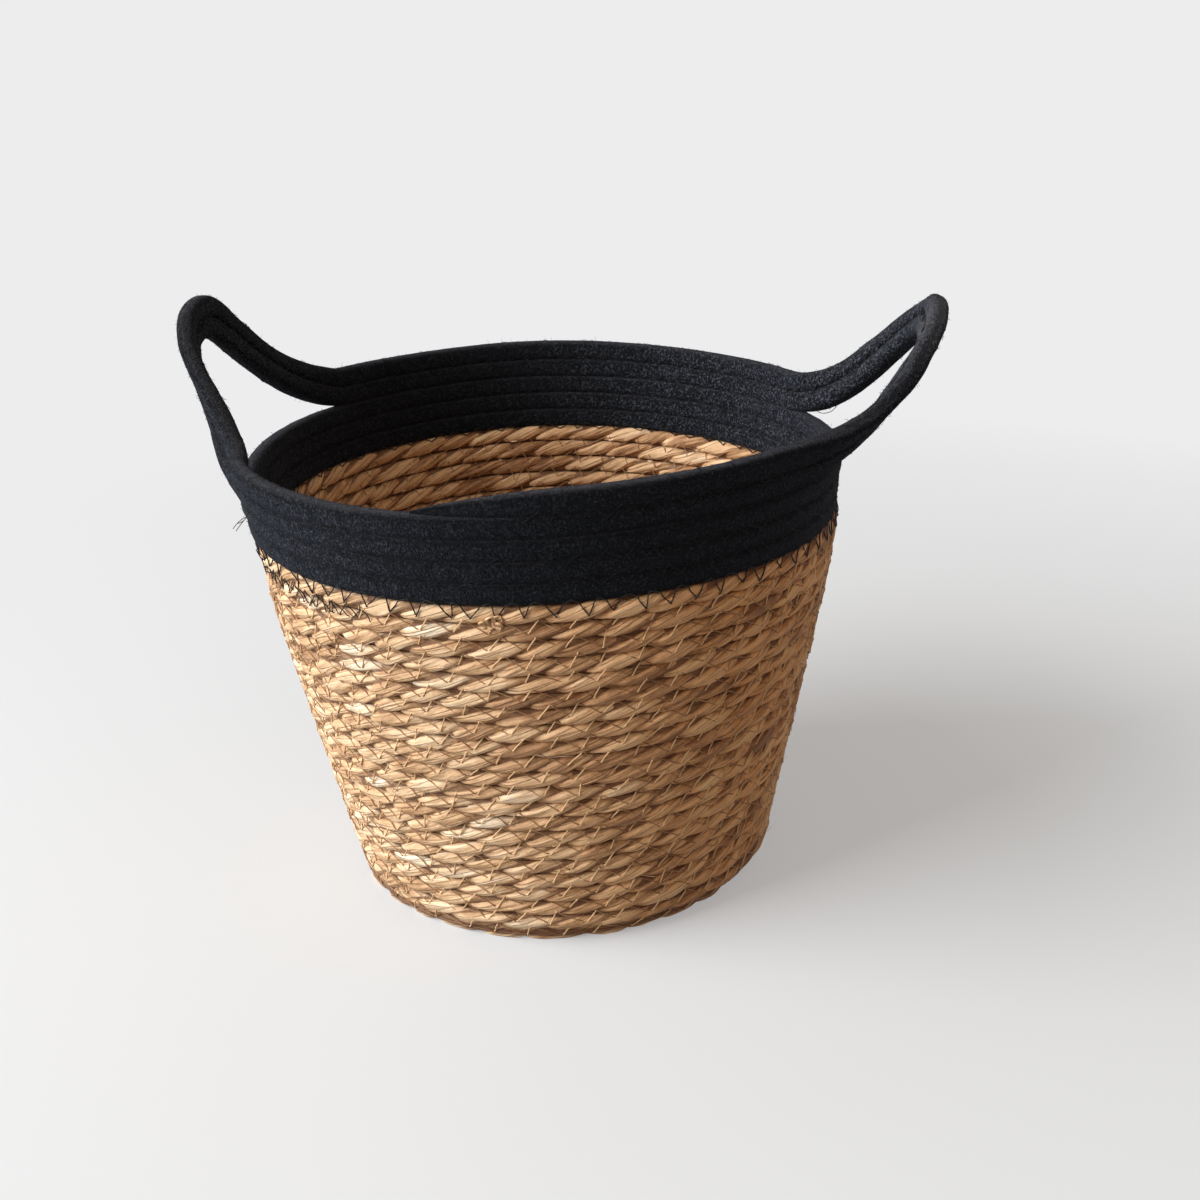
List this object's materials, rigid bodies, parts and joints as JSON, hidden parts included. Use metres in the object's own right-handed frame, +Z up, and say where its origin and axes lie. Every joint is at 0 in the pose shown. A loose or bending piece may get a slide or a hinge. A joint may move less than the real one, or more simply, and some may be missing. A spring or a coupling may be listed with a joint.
{
  "type": "storage basket",
  "caption": "Round storage basket of coiled straw rope with a dark cotton rope band that forms two standing loop handles.",
  "frame": {"origin": "On the floor, under the middle of the part's box.", "axes": "+Z is up and the handles stand at -X and +X. -Y is the side where the cotton rope ends."},
  "size_m": [0.384, 0.305, 0.2989],
  "materials": {
    "seagrass_rope": "twisted dried grass with a dull sheen",
    "cotton_rope": "matt braided cotton"
  },
  "bodies": {
    "bowl": {"seagrass_base_coil": "seagrass_rope", "seagrass_wall_coil": "seagrass_rope", "cotton_band_coil": "cotton_rope", "rim_back_lower_rope": "cotton_rope", "rim_back_upper_rope": "cotton_rope", "rim_front_lower_rope": "cotton_rope", "rim_front_upper_rope": "cotton_rope"},
    "left_handle": {"left_handle_lower_rope": "cotton_rope", "left_handle_upper_rope": "cotton_rope"},
    "right_handle": {"right_handle_lower_rope": "cotton_rope", "right_handle_upper_rope": "cotton_rope"}
  },
  "joints": [
    {"name": "left_handle_bend", "type": "hinge", "parent": "bowl", "child": "left_handle", "pos_m": [-0.13932, -0.00012, 0.2258], "axis": [-0.0021, 0.9971, 0.076], "range_deg": [-20, 50], "stiffness_Nm_per_rad": 0.5},
    {"name": "right_handle_bend", "type": "hinge", "parent": "bowl", "child": "right_handle", "pos_m": [0.11841, -0.00024, 0.229], "axis": [0.0007, -0.9998, 0.0184], "range_deg": [-10, 50], "stiffness_Nm_per_rad": 0.5}
  ]
}
